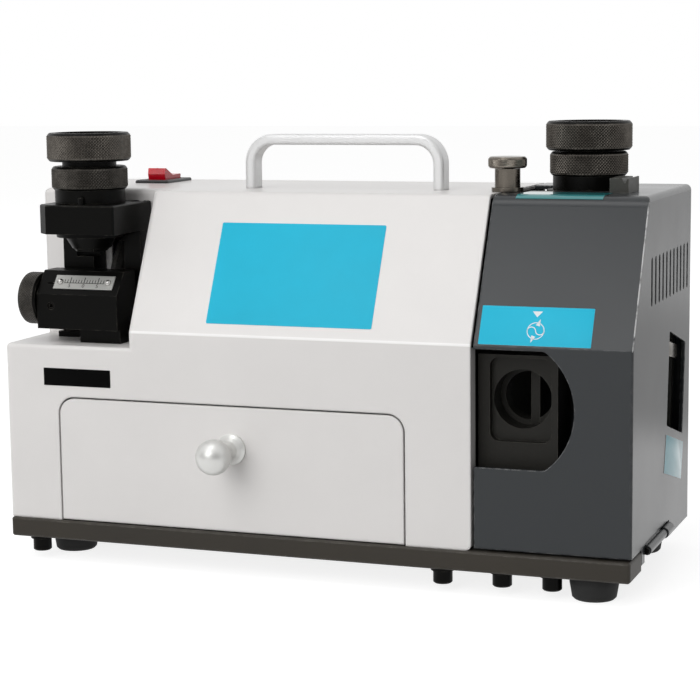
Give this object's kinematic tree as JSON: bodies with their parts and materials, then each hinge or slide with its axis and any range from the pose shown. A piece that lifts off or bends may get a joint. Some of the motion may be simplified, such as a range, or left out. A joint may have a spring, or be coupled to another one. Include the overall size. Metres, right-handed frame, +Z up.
{
  "type": "endmill grinder",
  "caption": "Bench endmill grinder: sloped sheet housing on a flat base, drawer, carry handle, rocker switch, knurled tool chucks, screw feed, hinged vented cover.",
  "frame": {"origin": "centre of the bounding box's footprint, on the table under the rubber feet", "axes": "+X to the right along the base, +Y to the back, +Z up"},
  "size_m": [0.3355, 0.1714, 0.2263],
  "materials": {
    "white_paint": "satin powder coat",
    "grey_paint": "satin powder coat",
    "base_paint": "matt paint",
    "black_oxide": "black oxide",
    "bright_steel": "ground",
    "bronze_steel": "turned, dark",
    "zinc_steel": "zinc plated",
    "chrome": "satin chrome",
    "aluminium": "satin anodised",
    "grey_block": "matt, dark",
    "rubber": "matt",
    "black_plastic": "moulded",
    "red_plastic": "translucent red",
    "brass": "plain",
    "abrasive": "grit coated steel",
    "motor_paint": "satin"
  },
  "bodies": {
    "machine_frame": {"base_plate": "base_paint", "rubber_feet": "rubber", "foot_screws": "zinc_steel", "base_washers": "black_oxide", "base_cap_screws": "black_oxide", "main_housing": "white_paint", "drawer_runners": "zinc_steel", "carry_handle": "aluminium", "handle_screws": "zinc_steel", "switch_body": "black_plastic", "power_inlet": "black_plastic", "inlet_pins": "brass", "slide_rails": "black_oxide", "feed_base": "black_oxide", "feed_block": "black_oxide", "set_screw": "black_oxide", "scale_plate": "aluminium", "plate_rivets": "bright_steel", "bulkhead": "grey_block", "motor_shelf": "zinc_steel", "motor_cradle": "aluminium", "motor_body": "motor_paint", "right_seat": "aluminium", "plunger_sleeve": "bronze_steel", "plunger_spring": "bright_steel", "setting_block": "grey_block", "setting_blade": "grey_block", "side_seat": "grey_block", "hinge_lug": "grey_paint", "hinge_pin": "black_oxide"},
    "drawer": {"drawer_front": "white_paint", "drawer_tray": "zinc_steel", "drawer_knob": "chrome", "knob_screw": "zinc_steel"},
    "cover": {"right_cover": "grey_paint", "stop_block": "grey_block", "hinge_tube": "grey_paint"},
    "rocker": {"switch_rocker": "red_plastic"},
    "carriage": {"carriage_pillar": "black_oxide", "bracket_arm": "black_oxide", "dowel_pin": "black_oxide", "arm_screws": "black_oxide"},
    "feed": {"feed_knob": "black_oxide", "feed_screw": "bright_steel"},
    "left_chuck": {"left_chuck_body": "black_oxide", "left_collet": "black_oxide"},
    "left_nut": {"left_clamp_nut": "black_oxide"},
    "right_chuck": {"right_chuck_body": "black_oxide", "right_collet": "black_oxide"},
    "right_nut": {"right_clamp_nut": "black_oxide"},
    "plunger": {"plunger_pin": "bronze_steel"},
    "spindle_set": {"spindle": "bright_steel", "left_wheel": "abrasive", "left_flanges": "bright_steel", "right_wheel": "abrasive", "right_flanges": "bright_steel"}
  },
  "joints": [
    {"name": "drawer_slide", "type": "slide", "parent": "machine_frame", "child": "drawer", "axis": [0, -1, 0], "range_m": [0, 0.09]},
    {"name": "cover_swing", "type": "hinge", "parent": "machine_frame", "child": "cover", "pos_m": [0.16485, 0.0017, 0.0204], "axis": [0, 1, 0], "range_deg": [0, 85]},
    {"name": "rocker_tilt", "type": "hinge", "parent": "machine_frame", "child": "rocker", "pos_m": [-0.12745, 0.0567, 0.1911], "axis": [1, 0, 0], "range_deg": [0, 24]},
    {"name": "carriage_feed", "type": "slide", "parent": "machine_frame", "child": "carriage", "axis": [1, 0, 0], "range_m": [-0.0015, 0.0015]},
    {"name": "feed_turn", "type": "hinge", "parent": "machine_frame", "child": "feed", "pos_m": [-0.15755, -0.0358, 0.136], "axis": [1, 0, 0], "range_deg": [-540, 540]},
    {"name": "left_chuck_turn", "type": "hinge", "parent": "carriage", "child": "left_chuck", "pos_m": [-0.12835, -0.0293, 0.186], "axis": [0, 0, 1], "continuous": true},
    {"name": "left_nut_turn", "type": "hinge", "parent": "left_chuck", "child": "left_nut", "pos_m": [-0.12835, -0.0293, 0.212], "axis": [0, 0, 1], "range_deg": [0, 300]},
    {"name": "right_chuck_turn", "type": "hinge", "parent": "machine_frame", "child": "right_chuck", "pos_m": [0.12145, 0.0347, 0.1918], "axis": [0, 0, 1], "continuous": true},
    {"name": "right_nut_turn", "type": "hinge", "parent": "right_chuck", "child": "right_nut", "pos_m": [0.12145, 0.0347, 0.217], "axis": [0, 0, 1], "range_deg": [0, 300]},
    {"name": "plunger_pull", "type": "slide", "parent": "machine_frame", "child": "plunger", "axis": [0, 0, 1], "range_m": [0, 0.005], "stiffness_N_per_m": 600, "springref_m": -0.004, "deforming": ["plunger_spring"]},
    {"name": "spindle_spin", "type": "hinge", "parent": "machine_frame", "child": "spindle_set", "pos_m": [-0.01555, 0.0237, 0.13], "axis": [1, 0, 0], "continuous": true}
  ],
  "couplings": [
    {"joint": "feed_turn", "follows": "carriage_feed", "rad_per_m": -6283.2}
  ]
}
